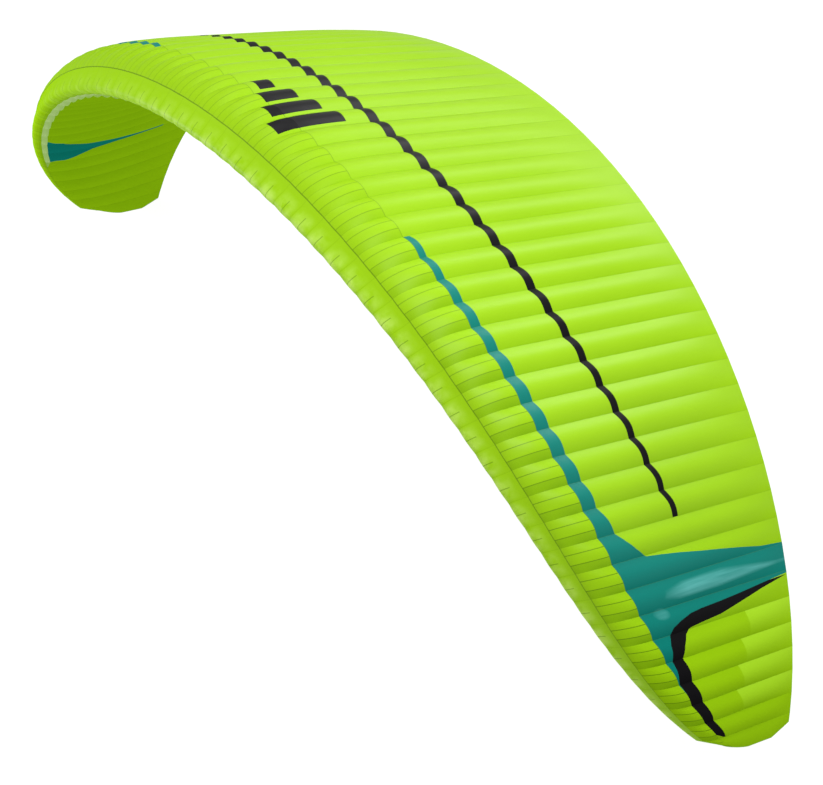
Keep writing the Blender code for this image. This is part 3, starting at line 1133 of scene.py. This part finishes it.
# %% Lower sail's cloth
BELLY_LIME = (0.226, 0.430, 0.0030, 1)
BELLY_DEEP = (0.196, 0.380, 0.0025, 1)
WEDGE_INNER = (
    (0.029, 21.48), (0.070, 21.79), (0.128, 22.07), (0.185, 22.19), (0.256, 22.34),
    (0.335, 22.42), (0.419, 22.54), (0.498, 22.63), (0.602, 22.77), (0.704, 22.84),
)  # (chords back, cell)
WEDGE_OUTER = (
    (0.000, 24.00), (0.067, 23.76), (0.117, 23.79), (0.161, 23.61), (0.219, 23.35),
    (0.290, 23.13), (0.341, 23.08), (0.432, 23.02), (0.613, 23.01),
)
WEDGE_END = 0.75
BELLY_RIB_LINE = 0.012
BELLY_RIB_DARK = 0.3
BELLY_SHADE = 0.22
BELLY_SHADE_CELLS = (27.0, 20.0)  # no shade outside the first, all of it inside the second


def lower_cloth():
    cloth = Material("lower_sail_ripstop")
    at = place_on_sail(cloth)
    threads = thick_threads(cloth.map_of("Metres"))
    inner_edge, outer_edge = [cloth.polyline(at.back, line) for line in (WEDGE_INNER, WEDGE_OUTER)]
    wedge = inside(at.side, inner_edge, outer_edge) * (at.back < WEDGE_END)
    shade = cloth.ramp(at.side, *BELLY_SHADE_CELLS) * BELLY_SHADE
    colour = cloth.mix(shade, lime_cloth(cloth, BELLY_LIME, BELLY_DEEP), SHADE)
    colour = cloth.mix(rib_seam(at.share, BELLY_RIB_LINE) * BELLY_RIB_DARK, colour, SEAM)
    colour = cloth.mix(wedge, colour, TEAL)
    bump = ripstop_bump(cloth, threads)
    return cloth.finish(colour, CLOTH_ROUGH, bump, Specular_IOR_Level=0.0)


lower_lime = lower_cloth()
print(lower_lime.name, "has", len(lower_lime.node_tree.nodes), "nodes")

# %% [markdown]
# ## Inner side, ribs and tip edges
# The inner side of the sails has a pale coating, and daylight shines through both
# sails, so the inside of a wing is bright. Light that really passes through the cloth
# would be slow and noisy to render, so the inner side and the ribs give off a little
# light of their own instead. The ribs have no map, so their weave lies on two of the
# wing's directions. The tip edges have a finer weave.

# %% Inner side, rib and edge cloths
INNER = (0.40, 0.54, 0.16, 1)
INNER_THREAD = (0.8, 0.86, 0.7, 1)
# white rib cloth, tinted green: painted light that comes through the lime sails
RIB_WHITE = (0.48, 0.60, 0.29, 1)
RIB_THREAD = (0.85, 0.88, 0.80, 1)
INNER_TINT = 0.2  # how much of the thread's colour shows
RIB_TINT = 0.3
GLOW = 0.3
STIFF_ROUGH = 0.6
EDGE_WEAVE_SCALE = 400.0
EDGE_WEAVE_HIGH = 0.0002


def inner_cloth():
    cloth = Material("inner_coating")
    threads = thick_threads(cloth.map_of("Metres"))
    colour = cloth.mix(threads * INNER_TINT, INNER, INNER_THREAD)
    bump = ripstop_bump(cloth, threads)
    return cloth.finish(colour, STIFF_ROUGH, bump, Emission_Color=INNER, Emission_Strength=GLOW)


def rib_cloth():
    cloth = Material("rib_ripstop")
    across = cloth.node("ShaderNodeSeparateXYZ", {}, {0: cloth.object_place()})
    threads = thick_threads((across.output(1), across.output(2)))
    colour = cloth.mix(threads * RIB_TINT, RIB_WHITE, RIB_THREAD)
    bump = cloth.bump(threads * THREAD_HIGH)
    return cloth.finish(
        colour, STIFF_ROUGH, bump, Emission_Color=RIB_WHITE, Emission_Strength=GLOW
    )


def edge_cloth():
    cloth = Material("tip_edge_ripstop")
    weave = cloth.noise(cloth.object_place(), EDGE_WEAVE_SCALE, detail=2.0)
    return cloth.finish(lime_cloth(cloth), CLOTH_ROUGH, cloth.bump(weave * EDGE_WEAVE_HIGH))


inner_side = inner_cloth()
rib_white = rib_cloth()
edge_lime = edge_cloth()
print([cloth.name for cloth in (inner_side, rib_white, edge_lime)])

# %% [markdown]
# ## Cloth on the pieces
# The sails take two cloths each: the outer one first, and then the inner side, which
# Solidify gives to the faces it adds. It would leave out the second one if it ran
# before, so this is the time to thicken the sails.

# %% Covers
for sail, cover in ((upper_sail, upper_lime), (nose_panel, nose_lime), (lower_sail, lower_lime)):
    sail.data.materials.append(cover)
    sail.data.materials.append(inner_side)
    thicken(sail, CLOTH_THICK)
    print(sail.name, len(sail.data.polygons), "faces on both sides and the rim")
for rib in ribs.values():
    rib.data.materials.append(rib_white)
for tip in tips.values():
    tip.data.materials.append(edge_lime)

# %% [markdown]
# ## What each piece stands for
# A paraglider's wing is one body here, because air holds it stiff. Each piece of cloth
# rides on that body and takes the place of its plain solid, which is hidden. Cloth is
# cut a little larger than the finished piece, for the seams. The span of the sails and
# the size of the ribs follow the wing's laws.

# %% Rides and hidden solids
RIB_CUT = (1.06, 0.24)  # length and height in chords


def declare(piece, nodes):
    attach(piece, "root")
    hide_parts(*nodes)


declare(upper_sail, ["upper_sail"])
declare(nose_panel, ["nose_panel"])
declare(lower_sail, ["lower_sail"])
for (number, side), piece in ribs.items():
    flat = tuple(round(CHORD[number] * share, 3) for share in RIB_CUT)
    declare(piece, [piece.name.replace("cloth_", "")])
for side, node in ((1, "tip_left"), (-1, "tip_right")):
    declare(tips[side], [node])

# %% [markdown]
# ## Floor
# A picture of a product has a plain floor with no horizon. A curved backdrop would do,
# but a very large plane is simpler. It is dark and glows almost white, so that it looks
# white all over, with only a faint shadow under the wing.

# %% Floor
FLOOR_SIZE = 200
FLOOR_GREY = (0.08, 0.08, 0.08, 1)
FLOOR_ROUGH = 0.9
FLOOR_GLOW = 0.95
WHITE = (1, 1, 1, 1)


def add_floor():
    deselect()
    bpy.ops.mesh.primitive_plane_add(size=FLOOR_SIZE)
    floor = bpy.context.object
    floor.name = "floor"
    paint = Material("pale_floor").finish(
        FLOOR_GREY, FLOOR_ROUGH, Emission_Color=WHITE, Emission_Strength=FLOOR_GLOW
    )
    floor.data.materials.append(paint)


add_floor()
print("floor is", FLOOR_SIZE, "m wide")

# %% [markdown]
# ## Light
# Large soft lamps leave no hard shadows on cloth. The key light stands high on the
# wing's left and a weaker fill light high on its right. A light behind gives the cells
# their soft haze, as a reflection in the coat, and a low one in front brightens the
# nose and the underside on the right. An even white sky fills the rest. The Standard
# view keeps the colours as they were chosen.

# %% Lights and sky
LIGHTS = {
    "key": {"place": (6.5, 1.0, 12.5), "target": (0, 0, 2), "size": 8.0, "power": 1450},
    "fill": {"place": (-5.0, 4.0, 13.0), "target": (0, 0, 2), "size": 9.0, "power": 550},
    "back": {"place": (-1.5, 12.0, 7.5), "target": (0, 0, 3), "size": 7.0, "power": 650},
    "front": {"place": (-11.0, -11.0, 4.0), "target": (0, 0, 3), "size": 6.0, "power": 1650},
}
SKY_STRENGTH = 0.50


def add_light(name, place, target, size, power):
    data = bpy.data.lights.new(name, "AREA")
    data.shape = "DISK"
    data.size = size
    data.energy = power
    light = bpy.data.objects.new(name, data)
    bpy.context.scene.collection.objects.link(light)
    light.location = place
    light.rotation_euler = (Vector(target) - Vector(place)).to_track_quat("-Z", "Y").to_euler()


def add_sky():
    world = bpy.data.worlds.new("studio")
    bpy.context.scene.world = world
    world.use_nodes = True
    background = world.node_tree.nodes["Background"]
    background.inputs["Color"].default_value = WHITE
    background.inputs["Strength"].default_value = SKY_STRENGTH


for name, light in LIGHTS.items():
    add_light(name, **light)
add_sky()
bpy.context.scene.view_settings.view_transform = "Standard"
print(len(LIGHTS), "lights and a sky")
